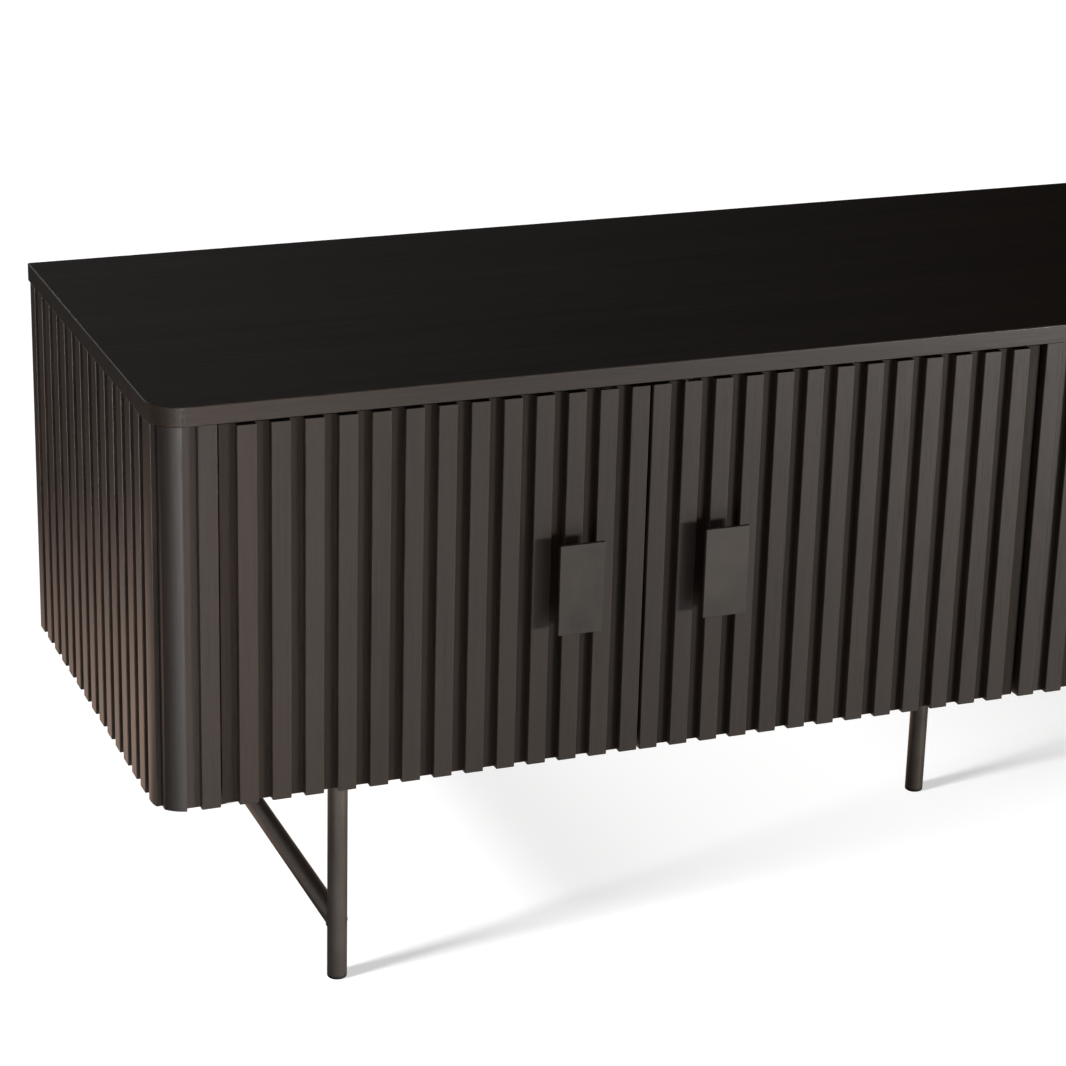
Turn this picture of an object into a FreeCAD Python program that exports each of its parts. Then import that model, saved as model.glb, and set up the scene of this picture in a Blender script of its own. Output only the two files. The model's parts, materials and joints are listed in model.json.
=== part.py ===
"""Four-door sideboard with fluted fronts and sides on a slim tube-leg base.

Millimetres, +Z up, +X along the front, +Y from front to back.
The origin is on the floor, under the centre of the overall bounding box.
"""
import FreeCAD
import Part
import math
import os

os.makedirs("parts", exist_ok=True)
V = FreeCAD.Vector

# ---------------------------------------------------------------- overall size
width = 1800.0
depth = 480.0
height = 596.0
body_height = 384.0
corner_radius = 32.0
handle_reach = 23.0

# ---------------------------------------------------------------- flutes
pitch = 31.0
slat_width = 18.0
slat_depth = 7.5
slat_edge = 1.0
slats_per_door = 13
slats_per_side = 15
first_side_slat = 19.5

# ---------------------------------------------------------------- boards
top_thickness = 18.0
top_edge = 1.4
board = 18.0
door_board = 14.5
stile_board = 16.0
side_board = 18.5
back_thickness = 8.0
shelf_thickness = 16.0
shelf_setback = 60.0
bottom_lift = 2.0

# ---------------------------------------------------------------- door layout
door_gap = 3.0
door_top_gap = 3.0
hinge_strip = 14.5
centre_slat_gap = 13.0
post_width = 26.0

# ---------------------------------------------------------------- hinges
pin_radius = 1.5
pin_clearance = 0.05
pin_setback = 12.0
pin_behind_board = 6.0
knuckle_radius = 3.0
arm_half_height = 11.0
mortise_half_height = 17.0
mortise_reach = 14.5
mortise_skin = 2.6
hinge_inset = 60.0

# ---------------------------------------------------------------- handles, catches
handle_width = 44.0
handle_height = 88.0
handle_plate = 4.0
handle_drop = 203.0
handle_slat = 10
handle_post_radius = 6.0
handle_post_spread = 28.0
catch_inset = 40.0

# ---------------------------------------------------------------- base
tube_radius = 9.5
tube_wall = 1.5
glide_height = 3.0
leg_inset_x = 180.0
leg_inset_y = 38.0
stretcher_height = 58.0
plate_size = 60.0
plate_thickness = 4.0
plate_margin = 8.0

# ---------------------------------------------------------------- worked-out planes
y_front = handle_reach - (depth + handle_reach) / 2
y_board = y_front + slat_depth
y_door_back = y_board + door_board
y_stile_back = y_board + stile_board
y_rear = y_front + depth
y_back_panel = y_rear - back_thickness
z_base = height - body_height
z_bottom = z_base + bottom_lift
z_floor = z_bottom + board
z_under_top = height - top_thickness
z_door_top = z_under_top - door_top_gap
x_side = width / 2
x_side_board = x_side - slat_depth
x_inside = x_side - post_width
x_partition = board / 2
half_centre_stile = slat_width + centre_slat_gap / 2
door_width = hinge_strip + (slats_per_door - 1) * pitch + slat_width
x_stile_edge = half_centre_stile + door_gap * 3 + door_width * 2
pin_y = y_board + pin_behind_board
z_shelf = (z_floor + z_under_top - shelf_thickness) / 2
hinge_heights = (z_base + hinge_inset, z_door_top - hinge_inset)

# each door: number, X of its hinge pin, +1 if it opens about its left edge, -1 if right
left_pin = -x_stile_edge + door_gap + pin_setback
centre_pin = half_centre_stile + door_gap + pin_setback
doors = (
    (1, left_pin, 1),
    (2, -centre_pin, -1),
    (3, centre_pin, 1),
    (4, -left_pin, -1),
)


# ---------------------------------------------------------------- small helpers
def box(x0, x1, y0, y1, z0, z1):
    """Box between two corners, given in any order."""
    low = V(min(x0, x1), min(y0, y1), min(z0, z1))
    return Part.makeBox(abs(x1 - x0), abs(y1 - y0), abs(z1 - z0), low)


def rod(radius, start, end):
    """Solid cylinder from one point to another."""
    run = end - start
    return Part.makeCylinder(radius, run.Length, start, run)


def mirrored(shape):
    """The same piece on the other side of the centre plane X = 0."""
    return shape.mirror(V(0, 0, 0), V(1, 0, 0))


def moved(shape, x=0.0, y=0.0, z=0.0):
    """A copy of a piece at another place."""
    copy = shape.copy()
    copy.translate(V(x, y, z))
    return copy


def save(name, shapes):
    """Write one node: one solid, or a group of separate solids."""
    if not isinstance(shapes, list):
        shapes = [shapes]
    solids = [solid for shape in shapes for solid in shape.Solids]
    shape = solids[0] if len(solids) == 1 else Part.makeCompound(solids)
    shape.exportStep("parts/" + name + ".step")


def outline(z0, z1):
    """The body's plan, square at the rear and rounded at the front, as a prism."""
    r = corner_radius
    bend = r * (1 - math.sqrt(0.5))
    left_arc = Part.Arc(V(-x_side, y_front + r, z0), V(-x_side + bend, y_front + bend, z0),
                        V(-x_side + r, y_front, z0))
    right_arc = Part.Arc(V(x_side - r, y_front, z0), V(x_side - bend, y_front + bend, z0),
                         V(x_side, y_front + r, z0))
    edges = [
        Part.makeLine(V(-x_side, y_rear, z0), V(-x_side, y_front + r, z0)),
        left_arc.toShape(),
        Part.makeLine(V(-x_side + r, y_front, z0), V(x_side - r, y_front, z0)),
        right_arc.toShape(),
        Part.makeLine(V(x_side, y_front + r, z0), V(x_side, y_rear, z0)),
        Part.makeLine(V(x_side, y_rear, z0), V(-x_side, y_rear, z0)),
    ]
    return Part.Face(Part.Wire(edges)).extrude(V(0, 0, z1 - z0))


def slat(z0, z1):
    """One flute slat, back on Y = 0, face on Y = -slat_depth, from X = 0 to slat_width."""
    e = slat_edge
    bend = e * (1 - math.sqrt(0.5))
    w = slat_width
    face = -slat_depth
    left_ease = Part.Arc(V(0, face + e, z0), V(bend, face + bend, z0), V(e, face, z0))
    right_ease = Part.Arc(V(w - e, face, z0), V(w - bend, face + bend, z0), V(w, face + e, z0))
    edges = [
        Part.makeLine(V(0, 0, z0), V(0, face + e, z0)),
        left_ease.toShape(),
        Part.makeLine(V(e, face, z0), V(w - e, face, z0)),
        right_ease.toShape(),
        Part.makeLine(V(w, face + e, z0), V(w, 0, z0)),
        Part.makeLine(V(w, 0, z0), V(0, 0, z0)),
    ]
    return Part.Face(Part.Wire(edges)).extrude(V(0, 0, z1 - z0))


def screw(tip, head, shank_radius, head_radius, head_height, raised=False):
    """Wood screw from its head's outer face to its tip, countersunk or with a raised head."""
    run = tip - head
    start = head + run * (head_height / run.Length)
    shank = rod(shank_radius, start, tip)
    if raised:
        cap = rod(head_radius, head, start)
    else:
        cap = Part.makeCone(head_radius, shank_radius, head_height, head, run)
    return cap.fuse(shank).removeSplitter()


def without(shape, cutters):
    """A piece with the given solids cut out of it."""
    return shape.cut(Part.makeCompound(cutters))


# ---------------------------------------------------------------- body
def make_top():
    """Top panel with eased edges, over the whole plan."""
    panel = outline(z_under_top, height)
    upper = [e for e in panel.Edges if abs(e.BoundBox.ZMin - height) < 0.01]
    save("top_panel", panel.makeFillet(top_edge, upper))


def side_pieces():
    """Left side board, its slats and the rounded corner post."""
    side = box(-x_side_board, -x_side_board + side_board, y_stile_back, y_back_panel,
               z_base, z_under_top)
    plan = outline(z_base, z_under_top)
    strip = slat(z_base, z_under_top)
    strip.rotate(V(0, 0, 0), V(0, 0, 1), -90)
    slats = []
    for i in range(slats_per_side):
        rear_edge = y_front + first_side_slat + slat_width + i * pitch
        slats.append(moved(strip, -x_side_board, rear_edge).common(plan))
    post = plan.common(box(-x_side_board, -x_inside, y_front, y_stile_back, z_base, z_under_top))
    return side, slats, post


def make_sides(pin_holes):
    """Left and right sides, with the shelf pins' holes drilled in the boards."""
    side, slats, post = side_pieces()
    save("side_board_left", without(side, pin_holes))
    save("side_board_right", without(mirrored(side), pin_holes))
    save("side_slats_left", slats)
    save("side_slats_right", [mirrored(s) for s in slats])
    save("corner_post_left", post)
    save("corner_post_right", mirrored(post))


def make_stiles(screws):
    """Fixed boards between and beside the doors, and the slats glued to them."""
    left = box(-x_inside, -x_stile_edge, y_board, y_stile_back, z_base, z_under_top)
    centre = box(-half_centre_stile, half_centre_stile, y_board, y_stile_back,
                 z_base, z_under_top)
    save("stile_board_left", without(left, screws))
    save("stile_board_right", without(mirrored(left), screws))
    save("stile_board_centre", without(centre, screws))
    strip = slat(z_base, z_under_top)
    starts = (-x_stile_edge - slat_width, -half_centre_stile,
              half_centre_stile - slat_width, x_stile_edge)
    save("fixed_slats", [moved(strip, x, y_board) for x in starts])


def make_bottom(screws):
    """Bottom panel, notched at its front edge behind each hinge pin."""
    notch = 22.0
    notch_depth = 5.5
    y_edge = y_door_back + 1.5
    panel = box(-x_inside, x_inside, y_edge, y_back_panel, z_bottom, z_floor)
    notches = []
    for _, x, hand in doors:
        notches.append(box(x - notch, x + notch, y_edge - 1, y_edge + notch_depth,
                           z_bottom - 1, z_floor + 1))
    save("bottom_panel", without(panel, notches + screws))


def make_inside(pin_holes, back_screws):
    """Centre partition, back panel and the two shelves."""
    partition = box(-x_partition, x_partition, y_stile_back, y_back_panel,
                    z_floor, z_under_top)
    save("partition", without(partition, pin_holes + back_screws))
    back = box(-x_side_board, x_side_board, y_back_panel, y_rear, z_base, z_under_top)
    save("back_panel", without(back, back_screws))
    slack = 1.0
    left = box(-x_inside + slack, -x_partition - slack, y_front + shelf_setback,
               y_back_panel - slack, z_shelf, z_shelf + shelf_thickness)
    save("shelf_left", left)
    save("shelf_right", mirrored(left))


def shelf_pins():
    """The eight pins that carry the shelves, and the three heights of holes for them."""
    radius = 2.5
    sunk = 7.0
    reach = 8.0
    rows = (y_front + 105.0, y_back_panel - 60.0)
    z_pin = z_shelf - radius
    pins = []
    holes = []
    for x, into_room in ((-x_inside, 1), (-x_partition, -1), (x_partition, 1), (x_inside, -1)):
        for y in rows:
            start = V(x - into_room * sunk, y, z_pin)
            pins.append(rod(radius, start, start + V(into_room * (sunk + reach), 0, 0)))
            for step in (-1, 0, 1):
                low = start + V(0, 0, step * 32.0)
                holes.append(rod(radius, low, low + V(into_room * (sunk + 1), 0, 0)))
    return pins, holes


def back_panel_screws():
    """Countersunk screws through the back panel into the partition."""
    screws = []
    for share in (0.15, 0.5, 0.85):
        z = z_floor + share * (z_under_top - z_floor)
        screws.append(screw(V(0, y_rear - 30, z), V(0, y_rear, z), 1.75, 3.5, 2.5))
    return screws


# ---------------------------------------------------------------- hinges
def hinge_arm():
    """Fixed swan-neck arm, drawn about its pin at X = Y = 0, for a left-hinged door."""
    h = arm_half_height
    foot_near = -(pin_setback + door_gap) - 0.2
    foot_far = foot_near - 14.6
    foot_front = y_stile_back - pin_y
    bridge_front = 13.1
    bridge_back = 15.3
    neck_left = 8.7
    neck_right = 11.0
    foot = box(foot_far, foot_near, foot_front, bridge_back, -h, h)
    bridge = box(foot_near, neck_right, bridge_front, bridge_back, -h, h)
    neck = box(neck_left, neck_right, -1.2, bridge_front, -h, h)
    bar = box(0, neck_right, -1.2, 1.2, -h, h)
    knuckle = rod(knuckle_radius, V(0, 0, -h), V(0, 0, h))
    arm = foot.fuse([bridge, neck, bar, knuckle]).removeSplitter()
    return arm.cut(rod(pin_radius + pin_clearance, V(0, 0, -h - 1), V(0, 0, h + 1)))


def hinge_bracket():
    """U-shaped bracket that sits in the door's mortise and holds the pin's two ends."""
    ear_inner = arm_half_height + 0.3
    ear = 3.0
    base_left = mortise_reach - 2.2
    front = mortise_skin - pin_behind_board
    back = door_board - pin_behind_board
    base = box(base_left, mortise_reach, front, back, -mortise_half_height, mortise_half_height)
    ears = []
    for sign in (-1, 1):
        ears.append(box(-3.5, base_left, front, 3.4, sign * ear_inner, sign * (ear_inner + ear)))
    return base.fuse(ears).removeSplitter().cut(hinge_pin())


def hinge_pin():
    """Steel pin through both ears of the bracket."""
    reach = arm_half_height + 3.3
    return rod(pin_radius, V(0, 0, -reach), V(0, 0, reach))


def hinge_mortise():
    """The pocket in the back of the door that clears the arm through its swing."""
    return box(-pin_setback - 1, mortise_reach, mortise_skin - pin_behind_board,
               door_board, -mortise_half_height, mortise_half_height)


def arm_screws():
    """Two pan-head screws that fix an arm's foot to the stile."""
    foot_x = -(pin_setback + door_gap) - 7.5
    return [screw(V(foot_x, 1.0, z), V(foot_x, 17.0, z), 1.6, 3.0, 1.7, raised=True)
            for z in (-6.0, 6.0)]


def placed(shape, pin_x, hand):
    """Put a piece drawn about a left-hinged door's pin on a door of either hand."""
    turned = shape if hand > 0 else mirrored(shape)
    return moved(turned, pin_x, pin_y)


def every_hinge(shapes):
    """Copies of hinge pieces at both heights of all four doors."""
    return [placed(moved(shape, z=z), x, hand)
            for _, x, hand in doors for z in hinge_heights for shape in shapes]


# ---------------------------------------------------------------- doors
def handle_bolts(x, face_y):
    """Two machine screws from inside the door into the handle's posts."""
    z_handle = height - handle_drop
    back = door_board - pin_behind_board
    bolts = []
    for sign in (-1, 1):
        z = z_handle + sign * handle_post_spread
        bolts.append(screw(V(x, face_y - 12, z), V(x, back + 2.4, z), 2.0, 3.6, 2.4, raised=True))
    return bolts


def handle(x, face_y, bolts):
    """Flat steel plate welded to two round posts that stand on one slat."""
    z_handle = height - handle_drop
    plate_back = face_y - handle_reach + handle_plate
    plate = box(x - handle_width / 2, x + handle_width / 2, face_y - handle_reach, plate_back,
                z_handle - handle_height / 2, z_handle + handle_height / 2)
    plate = plate.makeFillet(0.6, plate.Edges)
    posts = []
    for sign in (-1, 1):
        z = z_handle + sign * handle_post_spread
        posts.append(rod(handle_post_radius, V(x, face_y, z), V(x, plate_back - 0.5, z)))
    return without(plate.fuse(posts), bolts)


def make_door(number, pin_x, hand):
    """One door and everything that swings with it."""
    left = -pin_setback
    front = -pin_behind_board
    back = door_board - pin_behind_board
    face_y = front - slat_depth
    first_slat = left + hinge_strip
    handle_x = first_slat + handle_slat * pitch + slat_width / 2
    bolts = handle_bolts(handle_x, face_y)

    strip = slat(z_base, z_door_top)
    slats = [moved(strip, first_slat + i * pitch, front) for i in range(slats_per_door)]
    slats[handle_slat] = without(slats[handle_slat], bolts)
    panel = box(left, left + door_width, front, back, z_base, z_door_top)
    mortises = [moved(hinge_mortise(), z=z) for z in hinge_heights]
    panel = without(panel, mortises + bolts)
    strike_x = left + door_width - catch_inset
    strike = box(strike_x - 12, strike_x + 12, back, back + 1.5, z_door_top - 12, z_door_top)

    pieces = {
        "board": [panel],
        "slats": slats,
        "handle": [handle(handle_x, face_y, bolts)],
        "handle_screws": bolts,
        "hinge_brackets": [moved(hinge_bracket(), z=z) for z in hinge_heights],
        "hinge_pins": [moved(hinge_pin(), z=z) for z in hinge_heights],
        "strike_plate": [strike],
    }
    for name, shapes in pieces.items():
        save("door_%d_%s" % (number, name), [placed(s, pin_x, hand) for s in shapes])


def make_catches():
    """Magnets under the top that hold the doors shut."""
    magnets = []
    for _, x, hand in doors:
        local = door_width - pin_setback - catch_inset
        front = door_board - pin_behind_board + 2.0
        magnet = box(local - 15, local + 15, front, front + 14, z_under_top - 12, z_under_top)
        magnets.append(placed(magnet, x, hand))
    save("catch_magnets", magnets)


# ---------------------------------------------------------------- base
def leg_places():
    """Name and plan position of each leg."""
    x = x_side - leg_inset_x
    front = y_front + leg_inset_y
    rear = y_rear - leg_inset_y
    middle = (y_front + y_rear) / 2
    return (("front_left", -x, front), ("rear_left", -x, rear),
            ("front_right", x, front), ("rear_right", x, rear), ("centre", 0.0, middle))


def leg_tube(x, y):
    """Round steel leg tube, from its glide up to its mounting plate."""
    low = V(x, y, glide_height)
    high = V(x, y, z_bottom - plate_thickness)
    return rod(tube_radius, low, high).cut(rod(tube_radius - tube_wall, low, high))


def foot_glide(x, y):
    """Plastic glide with a rounded rim and a stem inside the tube."""
    disc = rod(tube_radius, V(x, y, 0), V(x, y, glide_height))
    rim = [e for e in disc.Edges if e.BoundBox.ZMax < 0.01]
    disc = disc.makeFillet(1.8, rim)
    stem = rod(tube_radius - tube_wall - 0.1, V(x, y, glide_height), V(x, y, glide_height + 14))
    return disc.fuse(stem).removeSplitter()


def plate_and_screws(name, x, y):
    """Square plate over a leg, set back behind the doors, and its four screws."""
    half = plate_size / 2
    shift = half - 12.0
    middle = y
    if name.startswith("front"):
        middle = y + shift
    if name.startswith("rear"):
        middle = y - shift
    plate = box(x - half, x + half, middle - half, middle + half,
                z_bottom - plate_thickness, z_bottom)
    hold = half - plate_margin
    screws = []
    for dx in (-hold, hold):
        for dy in (-hold, hold):
            head = V(x + dx, middle + dy, z_bottom - plate_thickness)
            screws.append(screw(head + V(0, 0, 18), head, 2.0, 4.0, 2.6))
    return without(plate, screws), screws


def make_stretchers():
    """Low tube between the front and rear legs at each end."""
    for side, sign in (("left", -1), ("right", 1)):
        x = sign * (x_side - leg_inset_x)
        start = V(x, y_front + leg_inset_y, stretcher_height)
        end = V(x, y_rear - leg_inset_y, stretcher_height)
        tube = rod(tube_radius, start, end).cut(rod(tube_radius - tube_wall, start, end))
        legs = [rod(tube_radius, V(x, p.y, 0), V(x, p.y, z_base)) for p in (start, end)]
        save("stretcher_" + side, without(tube, legs))


def make_base():
    """Legs, glides, mounting plates and stretchers. Returns the screws in the bottom panel."""
    glides = []
    plates = []
    screws = []
    for name, x, y in leg_places():
        save("leg_" + name, leg_tube(x, y))
        glides.append(foot_glide(x, y))
        plate, plate_screws = plate_and_screws(name, x, y)
        plates.append(plate)
        screws.extend(plate_screws)
    save("foot_glides", glides)
    save("leg_plates", plates)
    save("leg_screws", screws)
    make_stretchers()
    return screws


def main():
    pins, pin_holes = shelf_pins()
    back_screws = back_panel_screws()
    stile_screws = every_hinge(arm_screws())
    save("shelf_pins", pins)
    save("back_screws", back_screws)
    save("hinge_screws", stile_screws)
    save("hinge_arms", [without(arm, stile_screws) for arm in every_hinge([hinge_arm()])])
    make_top()
    make_sides(pin_holes)
    make_stiles(stile_screws)
    make_bottom(make_base())
    make_inside(pin_holes, back_screws)
    make_catches()
    for number, pin_x, hand in doors:
        make_door(number, pin_x, hand)


main()
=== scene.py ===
import json
import math

import bmesh
import bpy
from mathutils import Euler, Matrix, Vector


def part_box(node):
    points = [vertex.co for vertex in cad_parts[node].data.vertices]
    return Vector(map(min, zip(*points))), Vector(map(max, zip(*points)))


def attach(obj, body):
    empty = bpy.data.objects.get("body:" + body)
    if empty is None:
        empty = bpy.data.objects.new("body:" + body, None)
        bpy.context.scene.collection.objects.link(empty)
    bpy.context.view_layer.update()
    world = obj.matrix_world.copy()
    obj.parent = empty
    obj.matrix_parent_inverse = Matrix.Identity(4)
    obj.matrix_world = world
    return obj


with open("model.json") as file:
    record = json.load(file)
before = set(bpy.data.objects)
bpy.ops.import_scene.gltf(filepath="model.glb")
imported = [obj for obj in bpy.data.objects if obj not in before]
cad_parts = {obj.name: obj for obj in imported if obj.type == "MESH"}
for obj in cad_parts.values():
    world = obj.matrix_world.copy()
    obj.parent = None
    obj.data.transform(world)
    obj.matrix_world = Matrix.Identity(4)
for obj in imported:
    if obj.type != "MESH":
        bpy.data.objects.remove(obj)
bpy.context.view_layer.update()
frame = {"nodes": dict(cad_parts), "record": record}
nodes = frame["nodes"]

# ---------------------------------------------------------------- slats, from the frame
PITCH = 0.031
DOOR_SLATS = 13
slats_low, slats_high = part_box("door_1_slats")
SLAT_WIDTH = (slats_high.x - slats_low.x) - (DOOR_SLATS - 1) * PITCH
SIDE_FIRST_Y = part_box("side_slats_left")[0].y

# ---------------------------------------------------------------- colours: (dark, light) of each
STAIN = ((0.029, 0.0200, 0.0150), (0.056, 0.0395, 0.0305))
# The groove colours are the stain darkened: painted shade at the bottom of the grooves.
GROOVE_PAINTED_SHADE = ((0.0236, 0.0161, 0.0118), (0.0443, 0.0307, 0.0232))
# The corner post colours are the stain darkened: painted shade, so the posts' sides turned from
# the light look dark.
POST_PAINTED_SHADE = ((0.017, 0.0117, 0.0088), (0.033, 0.0232, 0.0180))
HANDLE_COAT = ((0.058, 0.0483, 0.0406), (0.077, 0.0648, 0.0551))
LEG_COAT = ((0.105, 0.087, 0.073), (0.140, 0.117, 0.099))
ZINC = ((0.42, 0.42, 0.41), (0.60, 0.60, 0.58))
PLASTIC = ((0.012, 0.012, 0.012), (0.030, 0.029, 0.027))
GROOVE_LACQUER = 0.35
POST_LACQUER = 2.0

# ---------------------------------------------------------------- wood and coat
# Textures are in waves per metre: (across the grain, along it).
FIGURE = (22, 1.6)
FIBRES = (420, 7)
PORES = (1300, 42)
FIBRE_SHARE = 0.55
PORE_STRENGTH = 0.45
PORE_SHADE = 0.35
PATCH_SHADE = 1.35
# The slats' eased edges are paled: rubbed wear and a painted edge highlight.
WORN_AND_HIGHLIT_EDGE_SHADE = 2.2
WORN_AND_HIGHLIT_EDGE_BAND = (0.0014, 0.0002)
DRAWING_LINES = (700, 16)
WORN_COAT_SHADE = 1.3

# ---------------------------------------------------------------- edges and weld beads
SAME_POINT = 0.00001
SAME_FACE = math.radians(0.5)
SHARP_EDGE = math.radians(55)
EDGE_ROUND = 0.0005
EDGE_SHARE = 0.08
FLAT_FACE_WEIGHT = 80
BEAD = 0.0013
BEAD_STEPS = 96
BEAD_SIDES = 10
BEAD_SINK = 0.2
SADDLE_EDGE = 0.12
COARSE_RIPPLE = 0.09
COARSE_RIPPLES = 23
FINE_RIPPLE = 0.05
FINE_RIPPLES = 41
FINE_START = 1.3

# ---------------------------------------------------------------- floor, in metres and levels
FLOOR_SIZE = 60.0
FLOOR_GREY = 0.62
FLOOR_GLOW = 0.565
FAR_FLOOR = 0.045
FRONT_PATCH = 0.34
FRONT_FADE_Y = (-0.55, -0.05)
FRONT_FADE_DIAGONAL = (-0.85, -0.50)
WARM_PATCH = 0.95
WARM_FADE_Y = (0.45, 1.2)
WARM_START_Y = (0.0, 0.3)
WARM_START_X = (-2.2, -1.5)
WARM_COLOUR = (1.0, 0.70, 0.56)

# ---------------------------------------------------------------- studio and lamps
# Lamp powers are in watts. The two shadows are suns, in watts per square metre.
STUDIO_WHITE = (1.0, 0.99, 0.99, 1)
CARD_DIRECTION = (-0.36, 0.90, 0.24)
CARD_EDGE = (0.90, 0.985)
CARD_LEVEL = 0.60
LEFT_EDGE = (-0.5, -0.15)
LEFT_LEVEL = 0.083
FRONT_EDGE = (0.2, 0.9)
FRONT_LEVEL = 0.06
WARM_WHITE = (1.0, 0.97, 0.94)
KEY = 178
STRIP = 0.60
STRIP_BEAM = 26
LEFT_SIDE = 7.0
RIGHT_SIDE = 45
REAR = 60
OVERHEAD = 5
UNDER_SHADOW = 0.22
LEG_SHADOW = 17.5
SUN_PLACE = (-2, 0, 3)

# ---------------------------------------------------------------- camera
CAMERA_PLACE = (-1.5553, -2.7723, 1.4753)
CAMERA_TURN = (69.348, -1.422, -21.097)
CAMERA_LENS = 108.39
SENSOR_WIDTH = 36
VIEW_REACH = 200


# ---------------------------------------------------------------- material helpers
class Tree:
    """A material's node tree, with short calls for the nodes that materials share."""

    def __init__(self, name):
        self.material = bpy.data.materials.new(name)
        self.material.use_nodes = True
        self.nodes = self.material.node_tree.nodes
        self.links = self.material.node_tree.links
        self.shader = self.nodes["Principled BSDF"]
        self.place = self.nodes.new("ShaderNodeTexCoord").outputs["Object"]

    def set(self, **values):
        """Sets the shader's own sockets: set(Roughness=0.5, Coat_Weight=0.2)."""
        for key, value in values.items():
            self.shader.inputs[key.replace("_", " ")].default_value = value

    def feed(self, socket, output):
        """Links a node's output to one of the shader's sockets."""
        self.links.new(output, self.shader.inputs[socket])

    def scaled(self, scale, shift=(0, 0, 0)):
        """Object coordinates stretched by a scale along each axis."""
        node = self.nodes.new("ShaderNodeMapping")
        node.inputs["Scale"].default_value = scale
        node.inputs["Location"].default_value = shift
        self.links.new(self.place, node.inputs["Vector"])
        return node.outputs["Vector"]

    def noise(self, vector, detail, roughness, distortion=0.0):
        """Soft random values from 0 to 1 over the given coordinates."""
        node = self.nodes.new("ShaderNodeTexNoise")
        node.inputs["Scale"].default_value = 1.0
        node.inputs["Detail"].default_value = detail
        node.inputs["Roughness"].default_value = roughness
        node.inputs["Distortion"].default_value = distortion
        self.links.new(vector, node.inputs["Vector"])
        return node.outputs["Fac"]

    def spread(self, value, low, high, to_low=0.0, to_high=1.0):
        """Maps a range of a value onto another range, with the ends held."""
        node = self.nodes.new("ShaderNodeMapRange")
        node.inputs["From Min"].default_value = low
        node.inputs["From Max"].default_value = high
        node.inputs["To Min"].default_value = to_low
        node.inputs["To Max"].default_value = to_high
        self.links.new(value, node.inputs["Value"])
        return node.outputs["Result"]

    def math(self, operation, a, b=None):
        """One operation on one or two values, each a number or another node's output."""
        node = self.nodes.new("ShaderNodeMath")
        node.operation = operation
        for socket, value in zip(node.inputs, (a, b)):
            if value is None:
                continue
            if isinstance(value, (int, float)):
                socket.default_value = value
            else:
                self.links.new(value, socket)
        return node.outputs["Value"]

    def mix(self, factor, a, b):
        """Mixes two colours, each an RGB tuple or another node's output."""
        node = self.nodes.new("ShaderNodeMix")
        node.data_type = "RGBA"
        pairs = ((node.inputs["Factor"], factor), (node.inputs[6], a), (node.inputs[7], b))
        for socket, value in pairs:
            if isinstance(value, tuple):
                socket.default_value = (*value, 1.0)
            elif isinstance(value, (int, float)):
                socket.default_value = value
            else:
                self.links.new(value, socket)
        return node.outputs[2]

    def axis(self, name):
        """One object coordinate."""
        node = self.nodes.new("ShaderNodeSeparateXYZ")
        self.links.new(self.place, node.inputs[0])
        return node.outputs[name]

    def bump(self, height, strength, distance):
        """Tilts the shading by a height, without moving the surface."""
        node = self.nodes.new("ShaderNodeBump")
        node.inputs["Strength"].default_value = strength
        node.inputs["Distance"].default_value = distance
        self.links.new(height, node.inputs["Height"])
        self.links.new(node.outputs["Normal"], self.shader.inputs["Normal"])


def shade(colour, times):
    """A colour made lighter or darker."""
    return tuple(part * times for part in colour)


def along_grain(waves, grain):
    """A texture scale from (waves across the grain, waves along it)."""
    across, along = waves
    return tuple(along if axis == grain else across for axis in "XYZ")


def stained_wood(name, grain, stain, slats=None, lacquer=1.0):
    """Dark stained wood under a satin lacquer: a broad figure, fibres, pores and cloudy patches.

    slats is (axis, start) for a fluted piece: each slat then has a tone of its own.
    lacquer scales the shine: low at the bottom of the grooves, high on the corner posts.
    """
    dark, light = stain
    t = Tree(name)
    figure = t.noise(t.scaled(along_grain(FIGURE, grain)), detail=4, roughness=0.6, distortion=0.6)
    fibres = t.noise(t.scaled(along_grain(FIBRES, grain)), detail=5, roughness=0.65)
    pores = t.noise(t.scaled(along_grain(PORES, grain), (3.1, 1.7, 0.4)), detail=2, roughness=0.5)
    patches = t.noise(t.scaled((5, 5, 5), (0.3, 2.0, 7.0)), detail=2, roughness=0.5)
    figure_part = t.math("MULTIPLY", figure, 1 - FIBRE_SHARE)
    streak = t.math("ADD", figure_part, t.math("MULTIPLY", fibres, FIBRE_SHARE))
    colour = t.mix(t.spread(streak, 0.36, 0.66), dark, light)
    pore = t.spread(pores, 0.58, 0.70)
    colour = t.mix(t.math("MULTIPLY", pore, PORE_STRENGTH), colour, shade(dark, PORE_SHADE))
    patch = t.spread(patches, 0.3, 0.7, to_low=0.0, to_high=0.14)
    colour = t.mix(patch, colour, shade(light, PATCH_SHADE))
    if slats:
        colour = slat_tones(t, colour, light, *slats)
    t.feed("Base Color", colour)
    t.feed("Roughness", t.spread(streak, 0.3, 0.7, to_low=0.50, to_high=0.36))
    relief = t.math("SUBTRACT", t.math("MULTIPLY", fibres, 0.5), pore)
    t.bump(relief, strength=0.22, distance=0.0004)
    t.set(Specular_IOR_Level=0.38 * lacquer, Coat_Weight=0.32 * lacquer, Coat_Roughness=0.20)
    return t.material


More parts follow.
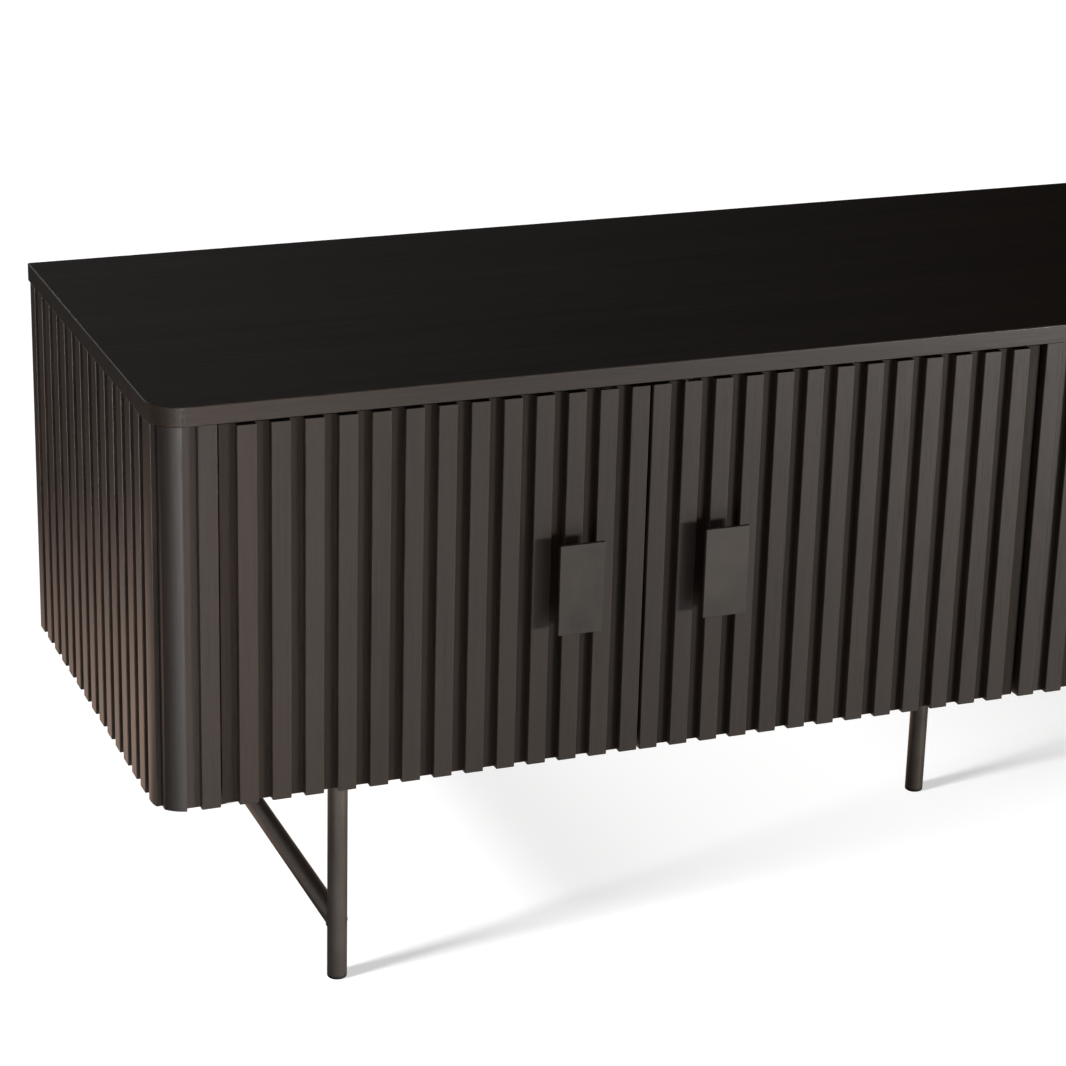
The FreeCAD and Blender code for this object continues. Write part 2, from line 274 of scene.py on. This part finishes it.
def slat_tones(t, colour, light, axis, start):
    """Gives each slat its own tone, and pales its two eased edges a little: rubbed wear and a
    painted edge highlight.
    """
    run = t.math("MULTIPLY", t.math("SUBTRACT", t.axis(axis), start), 1 / PITCH)
    number = t.math("FLOOR", run)
    tone = t.nodes.new("ShaderNodeTexWhiteNoise")
    tone.noise_dimensions = "1D"
    t.links.new(number, tone.inputs["W"])
    own_tone = t.spread(tone.outputs["Value"], 0, 1, to_low=0.0, to_high=0.30)
    colour = t.mix(own_tone, colour, light)
    within = t.math("MULTIPLY", t.math("FRACT", run), PITCH)
    from_middle = t.math("ABSOLUTE", t.math("SUBTRACT", within, SLAT_WIDTH / 2))
    wear = t.noise(t.scaled((60, 60, 14), (9, 4, 2)), detail=3, roughness=0.6)
    # paler eased edges: rubbed wear and a painted edge highlight
    edge_band_start, edge_band_end = (SLAT_WIDTH / 2 - inset for inset in WORN_AND_HIGHLIT_EDGE_BAND)
    worn_and_highlit_edge = t.spread(from_middle, edge_band_start, edge_band_end)
    worn_and_highlit_edge = t.math("MULTIPLY", worn_and_highlit_edge, t.spread(wear, 0.40, 0.62, to_low=0.10, to_high=0.55))
    return t.mix(worn_and_highlit_edge, colour, shade(light, WORN_AND_HIGHLIT_EDGE_SHADE))


def dark_metal(name, grain, coat):
    """Dark bronze-black powder coat: fine orange peel over faint drawing lines."""
    dark, light = coat
    t = Tree(name)
    peel = t.noise(t.scaled((900, 900, 900)), detail=3, roughness=0.5)
    lines = t.noise(t.scaled(along_grain(DRAWING_LINES, grain)), detail=3, roughness=0.6)
    smudge = t.noise(t.scaled((26, 26, 26), (1, 5, 2)), detail=4, roughness=0.6)
    base = t.mix(t.spread(smudge, 0.35, 0.7), dark, light)
    wear = t.spread(lines, 0.5, 0.75, to_low=0, to_high=0.35)
    t.feed("Base Color", t.mix(wear, base, shade(light, WORN_COAT_SHADE)))
    t.feed("Roughness", t.spread(smudge, 0.3, 0.7, to_low=0.36, to_high=0.48))
    relief = t.math("ADD", peel, t.math("MULTIPLY", lines, 0.4))
    t.bump(relief, strength=0.12, distance=0.00025)
    t.set(Metallic=0.25, Specular_IOR_Level=0.5)
    return t.material


def plated_steel(name):
    """Zinc-plated hinge steel with a cloudy, slightly scuffed surface."""
    dark, light = ZINC
    t = Tree(name)
    cloud = t.noise(t.scaled((140, 140, 140)), detail=4, roughness=0.6)
    scuff = t.noise(t.scaled((1800, 300, 300)), detail=3, roughness=0.6)
    t.feed("Base Color", t.mix(t.spread(cloud, 0.3, 0.7), dark, light))
    t.feed("Roughness", t.spread(scuff, 0.35, 0.7, to_low=0.24, to_high=0.42))
    t.bump(scuff, strength=0.10, distance=0.0001)
    t.set(Metallic=1.0)
    return t.material


def black_plastic(name):
    """Moulded black plastic with a fine texture and a little dust."""
    dark, light = PLASTIC
    t = Tree(name)
    grain = t.noise(t.scaled((1500, 1500, 1500)), detail=2, roughness=0.5)
    dust = t.noise(t.scaled((90, 90, 90)), detail=3, roughness=0.6)
    t.feed("Base Color", t.mix(t.spread(dust, 0.4, 0.8), dark, light))
    t.feed("Roughness", t.spread(dust, 0.3, 0.7, to_low=0.48, to_high=0.62))
    t.bump(grain, strength=0.15, distance=0.0002)
    return t.material


# ---------------------------------------------------------------- materials on the CAD nodes
finish = {
    "top": stained_wood("top_stain", "X", STAIN),
    "upright": stained_wood("upright_stain", "Z", STAIN),
    # the groove finish is darker than the slats: painted shade in the recesses
    "groove": stained_wood("groove_stain", "Z", GROOVE_PAINTED_SHADE, lacquer=GROOVE_LACQUER),
    # the corner posts' darker stain is painted shade
    "post": stained_wood("post_stain", "Z", POST_PAINTED_SHADE, lacquer=POST_LACQUER),
    "long": stained_wood("long_stain", "X", STAIN),
    "side_slats": stained_wood("side_slat_stain", "Z", STAIN, ("Y", SIDE_FIRST_Y)),
    "handle": dark_metal("handle_coat", "Z", HANDLE_COAT),
    "leg": dark_metal("leg_coat", "Z", LEG_COAT),
    "stretcher": dark_metal("stretcher_coat", "Y", LEG_COAT),
    "steel": plated_steel("plated_steel"),
    "plastic": black_plastic("glide_plastic"),
}


def material_for(node):
    """The finish of one CAD node."""
    if node == "top_panel":
        return finish["top"]
    if node.startswith("side_slats"):
        return finish["side_slats"]
    if node.endswith("_slats") and node.startswith("door"):
        return stained_wood(node + "_stain", "Z", STAIN, ("X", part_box(node)[0].x))
    if node.startswith(("side_board", "stile_board")):
        return finish["upright"]
    if node.endswith("_board"):
        return finish["groove"]
    if node.startswith("corner_post"):
        return finish["post"]
    if node in ("bottom_panel", "back_panel", "shelf_left", "shelf_right"):
        return finish["long"]
    if node == "foot_glides":
        return finish["plastic"]
    if node.startswith("stretcher") or node == "leg_plates":
        return finish["stretcher"]
    if node.endswith("_handle"):
        return finish["handle"]
    if node.startswith("leg_") and node != "leg_screws":
        return finish["leg"]
    slot = next(s["material_slot"] for s in frame["record"]["subparts"] if s["node"] == node)
    return finish["steel"] if slot == "hinge_steel" else finish["upright"]


def dress(node):
    """Puts a node's finish on it, and rounds its sharp edges slightly.

    Flat faces are made whole before the rounding, and keep flat shading beside it.
    """
    piece = nodes[node]
    piece.data.materials.clear()
    piece.data.materials.append(material_for(node))
    weld = piece.modifiers.new("weld", "WELD")
    weld.merge_threshold = SAME_POINT
    merge = piece.modifiers.new("whole_faces", "DECIMATE")
    merge.decimate_type = "DISSOLVE"
    merge.angle_limit = SAME_FACE
    low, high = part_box(node)
    bevel = piece.modifiers.new("bevel", "BEVEL")
    bevel.width = min(EDGE_ROUND, EDGE_SHARE * min(high - low))
    bevel.segments = 2
    bevel.limit_method = "ANGLE"
    bevel.angle_limit = SHARP_EDGE
    normals = piece.modifiers.new("flat_faces", "WEIGHTED_NORMAL")
    normals.weight = FLAT_FACE_WEIGHT


for node in nodes:
    dress(node)


# ---------------------------------------------------------------- weld beads on the base
def unevenness(angle):
    """Share of a bead's radius at an angle round it: the ripples of a hand-run weld."""
    coarse = COARSE_RIPPLE * math.sin(COARSE_RIPPLES * angle)
    fine = FINE_RIPPLE * math.sin(FINE_RIPPLES * angle + FINE_START)
    return 1 + coarse + fine


def bead(name, path, centre):
    """A weld bead along a closed path round a centre."""
    mesh = bmesh.new()
    rings = []
    count = len(path)
    for i, point in enumerate(path):
        along = (path[(i + 1) % count] - path[i - 1]).normalized()
        out = point - centre
        out = (out - along * out.dot(along)).normalized()
        side = along.cross(out)
        radius = BEAD * unevenness(2 * math.pi * i / count)
        turns = [2 * math.pi * k / BEAD_SIDES for k in range(BEAD_SIDES)]
        rings.append([mesh.verts.new(point + radius * (math.cos(a) * out + math.sin(a) * side))
                      for a in turns])
    for i in range(count):
        here, ahead = rings[i], rings[(i + 1) % count]
        for k in range(BEAD_SIDES):
            j = (k + 1) % BEAD_SIDES
            mesh.faces.new((here[k], here[j], ahead[j], ahead[k]))
    bmesh.ops.recalc_face_normals(mesh, faces=mesh.faces)
    for face in mesh.faces:
        face.smooth = True
    data = bpy.data.meshes.new(name)
    mesh.to_mesh(data)
    mesh.free()
    piece = bpy.data.objects.new(name, data)
    bpy.context.scene.collection.objects.link(piece)
    piece.data.materials.append(finish["leg"])
    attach(piece, "cabinet")


def middle(node):
    """The centre of a node's box."""
    low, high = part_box(node)
    return (low + high) / 2


def circle_angles():
    """The angles of a bead's points round its tube."""
    return [2 * math.pi * i / BEAD_STEPS for i in range(BEAD_STEPS)]


def plate_bead(leg):
    """The bead round a tube where it meets its mounting plate."""
    centre = middle(leg)
    low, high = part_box(leg)
    reach = (high.x - low.x) / 2
    top = high.z - BEAD * BEAD_SINK
    path = [Vector((centre.x + reach * math.cos(a), centre.y + reach * math.sin(a), top))
            for a in circle_angles()]
    bead(leg + "_plate_bead", path, Vector((centre.x, centre.y, top)))


def stretcher_bead(stretcher, leg, toward):
    """The bead where a stretcher's end meets a leg.

    toward is the side of the leg that the stretcher is on: 1 behind it, -1 in front of it.
    """
    low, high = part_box(stretcher)
    axis_z = (low.z + high.z) / 2
    reach = (high.z - low.z) / 2
    foot = middle(leg)
    leg_low, leg_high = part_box(leg)
    leg_reach = (leg_high.x - leg_low.x) / 2
    path = []
    for a in circle_angles():
        across = reach * math.cos(a)
        from_axis = math.sqrt(max(leg_reach ** 2 - across ** 2, (SADDLE_EDGE * leg_reach) ** 2))
        height = axis_z + reach * math.sin(a)
        path.append(Vector((foot.x + across, foot.y + toward * from_axis, height)))
    centre = Vector((foot.x, foot.y + toward * leg_reach, axis_z))
    bead(stretcher + "_bead_" + leg, path, centre)


for leg in ("leg_front_left", "leg_rear_left", "leg_front_right", "leg_rear_right", "leg_centre"):
    plate_bead(leg)
for hand in ("left", "right"):
    stretcher_bead("stretcher_" + hand, "leg_front_" + hand, 1)
    stretcher_bead("stretcher_" + hand, "leg_rear_" + hand, -1)


# ---------------------------------------------------------------- stage, light and camera
def emission(tree, strength, colour=(1, 1, 1)):
    """An emission shader's output, with a strength from another node."""
    node = tree.nodes.new("ShaderNodeEmission")
    node.inputs["Color"].default_value = (*colour, 1)
    tree.links.new(strength, node.inputs["Strength"])
    return node.outputs[0]


def make_floor():
    """A pale floor, white to the camera with soft shadows.

    What the cabinet sees of it is a lit patch in front and a smaller warm one behind its left
    side, with darker studio between them.
    """
    bpy.ops.mesh.primitive_plane_add(size=FLOOR_SIZE, location=(0, 0, 0))
    floor = bpy.context.object
    floor.name = "floor"
    t = Tree("pale_floor")
    t.set(Base_Color=(FLOOR_GREY, FLOOR_GREY, FLOOR_GREY, 1), Roughness=0.9)
    t.set(Specular_IOR_Level=0.1, Emission_Color=(1, 1, 1, 1), Emission_Strength=FLOOR_GLOW)
    in_front = t.spread(t.axis("Y"), *FRONT_FADE_Y, to_low=FRONT_PATCH, to_high=0.0)
    diagonal = t.math("SUBTRACT", t.axis("X"), t.axis("Y"))
    in_front = t.math("MULTIPLY", in_front, t.spread(diagonal, *FRONT_FADE_DIAGONAL))
    nearby = t.spread(t.axis("Y"), *WARM_FADE_Y, to_low=WARM_PATCH, to_high=0.0)
    behind = t.spread(t.axis("Y"), *WARM_START_Y)
    leftward = t.spread(t.axis("X"), *WARM_START_X)
    warm = t.math("MULTIPLY", t.math("MULTIPLY", nearby, behind), leftward)
    add = t.nodes.new("ShaderNodeAddShader")
    t.links.new(emission(t, t.math("ADD", in_front, FAR_FLOOR)), add.inputs[0])
    t.links.new(emission(t, warm, WARM_COLOUR), add.inputs[1])
    path = t.nodes.new("ShaderNodeLightPath")
    mix = t.nodes.new("ShaderNodeMixShader")
    t.links.new(path.outputs["Is Camera Ray"], mix.inputs["Fac"])
    t.links.new(add.outputs[0], mix.inputs[1])
    t.links.new(t.shader.outputs[0], mix.inputs[2])
    t.links.new(mix.outputs[0], t.nodes["Material Output"].inputs["Surface"])
    floor.data.materials.append(t.material)
    return floor


def glow_toward(tree, place, direction, edge, level):
    """A level that rises from 0 as a ray turns toward a direction, over a range of its cosine."""
    toward = tree.nodes.new("ShaderNodeVectorMath")
    toward.operation = "DOT_PRODUCT"
    toward.inputs[1].default_value = direction
    tree.links.new(place, toward.inputs[0])
    fade = tree.nodes.new("ShaderNodeMapRange")
    fade.inputs["From Min"].default_value = edge[0]
    fade.inputs["From Max"].default_value = edge[1]
    fade.inputs["To Max"].default_value = level
    tree.links.new(toward.outputs["Value"], fade.inputs["Value"])
    return fade.outputs[0]


def added(tree, a, b):
    """The sum of two outputs."""
    node = tree.nodes.new("ShaderNodeMath")
    tree.links.new(a, node.inputs[0])
    tree.links.new(b, node.inputs[1])
    return node.outputs[0]


def make_world():
    """White to the camera: otherwise a dim studio, with a pale card behind the left end."""
    world = bpy.data.worlds.new("studio")
    bpy.context.scene.world = world
    world.use_nodes = True
    tree = world.node_tree
    place = tree.nodes.new("ShaderNodeTexCoord").outputs["Generated"]
    card = glow_toward(tree, place, CARD_DIRECTION, CARD_EDGE, CARD_LEVEL)
    left = glow_toward(tree, place, (-1, 0, 0), LEFT_EDGE, LEFT_LEVEL)
    front = glow_toward(tree, place, (0, -1, 0), FRONT_EDGE, FRONT_LEVEL)
    studio = tree.nodes["Background"]
    studio.inputs["Color"].default_value = STUDIO_WHITE
    tree.links.new(added(tree, added(tree, card, left), front), studio.inputs["Strength"])
    white = tree.nodes.new("ShaderNodeBackground")
    white.inputs["Color"].default_value = (1, 1, 1, 1)
    path = tree.nodes.new("ShaderNodeLightPath")
    mix = tree.nodes.new("ShaderNodeMixShader")
    tree.links.new(path.outputs["Is Camera Ray"], mix.inputs["Fac"])
    tree.links.new(studio.outputs[0], mix.inputs[1])
    tree.links.new(white.outputs[0], mix.inputs[2])
    tree.links.new(mix.outputs[0], tree.nodes["World Output"].inputs["Surface"])


def add_lamp(name, kind, place, direction, power, receivers):
    """A lamp that faces a direction and lights only the objects of one collection."""
    light = bpy.data.lights.new(name, kind)
    light.energy = power
    lamp = bpy.data.objects.new(name, light)
    bpy.context.scene.collection.objects.link(lamp)
    lamp.location = place
    lamp.rotation_euler = Vector(direction).to_track_quat("-Z", "Y").to_euler()
    lamp.light_linking.receiver_collection = receivers
    return lamp


def soft_box(name, place, aim, size, power, receivers, colour=(1, 1, 1), beam=180):
    """A rectangular area light turned to face a point, with its beam held to an angle."""
    lamp = add_lamp(name, "AREA", place, Vector(aim) - Vector(place), power, receivers)
    lamp.visible_camera = False
    lamp.data.shape = "RECTANGLE"
    lamp.data.spread = math.radians(beam)
    lamp.data.size, lamp.data.size_y = size
    lamp.data.color = colour


def far_light(name, direction, width_degrees, power, receivers):
    """A light from one direction with soft-edged shadows."""
    lamp = add_lamp(name, "SUN", SUN_PLACE, direction, power, receivers)
    lamp.data.angle = math.radians(width_degrees)


def collect(name, pieces):
    """A collection outside the scene, for lamps to be linked to."""
    group = bpy.data.collections.new(name)
    for piece in pieces:
        group.objects.link(piece)
    return group


def make_lights(floor):
    """A low key from the front right, fills for each side and the rear, and floor shadows."""
    meshes = [p for p in bpy.context.scene.objects if p.type == "MESH" and p != floor]
    base = ("leg", "stretcher", "foot")
    on_floor = collect("floor_only", [floor])
    on_cabinet = collect("cabinet_only", meshes)
    on_rear = collect("all_but_base", [p for p in meshes if not p.name.startswith(base)])
    on_front = collect("all_but_sides", [p for p in meshes if not p.name.startswith("side_")])
    on_sides = collect("sides_only", [p for p in meshes if p.name.startswith("side_")])
    soft_box("key", place=(2.8, -4.5, 0.25), aim=(-0.2, -0.2, 0.38), size=(1.2, 0.8),
             power=KEY, receivers=on_cabinet, colour=WARM_WHITE)
    soft_box("strip", place=(-1.20, -1.90, 0.42), aim=(-0.92, -0.2, 0.38), size=(0.25, 0.8),
             power=STRIP, receivers=on_front, beam=STRIP_BEAM)
    soft_box("left_side", place=(-1.9, -0.5, 0.1), aim=(-0.9, 0.1, 0.2), size=(0.8, 0.4),
             power=LEFT_SIDE, receivers=on_sides)
    soft_box("right_side", place=(3.0, 1.4, 0.5), aim=(0.9, 0.0, 0.38), size=(0.8, 0.8),
             power=RIGHT_SIDE, receivers=on_sides)
    soft_box("rear", place=(1.0, 4.0, 0.26), aim=(0.0, 0.25, 0.36), size=(3.0, 0.4),
             power=REAR, receivers=on_rear)
    soft_box("overhead", place=(0.3, -0.6, 3.6), aim=(0.0, 0.0, 0.0), size=(3.0, 2.0),
             power=OVERHEAD, receivers=on_cabinet)
    far_light("under_shadow", direction=(0.165, 0.035, -0.212), width_degrees=3,
              power=UNDER_SHADOW, receivers=on_floor)
    far_light("leg_shadow", direction=(0.978, 0.208, -0.13), width_degrees=12,
              power=LEG_SHADOW, receivers=on_floor)


def make_camera():
    """The camera at the photograph's angle: from the front left and above, on the left half."""
    data = bpy.data.cameras.new("camera")
    data.sensor_width = SENSOR_WIDTH
    data.lens = CAMERA_LENS
    data.clip_end = VIEW_REACH
    camera = bpy.data.objects.new("camera", data)
    bpy.context.scene.collection.objects.link(camera)
    camera.location = CAMERA_PLACE
    camera.rotation_euler = Euler([math.radians(a) for a in CAMERA_TURN], "XYZ")
    bpy.context.scene.camera = camera


make_world()
make_lights(make_floor())
make_camera()
bpy.context.scene.view_settings.view_transform = "Standard"
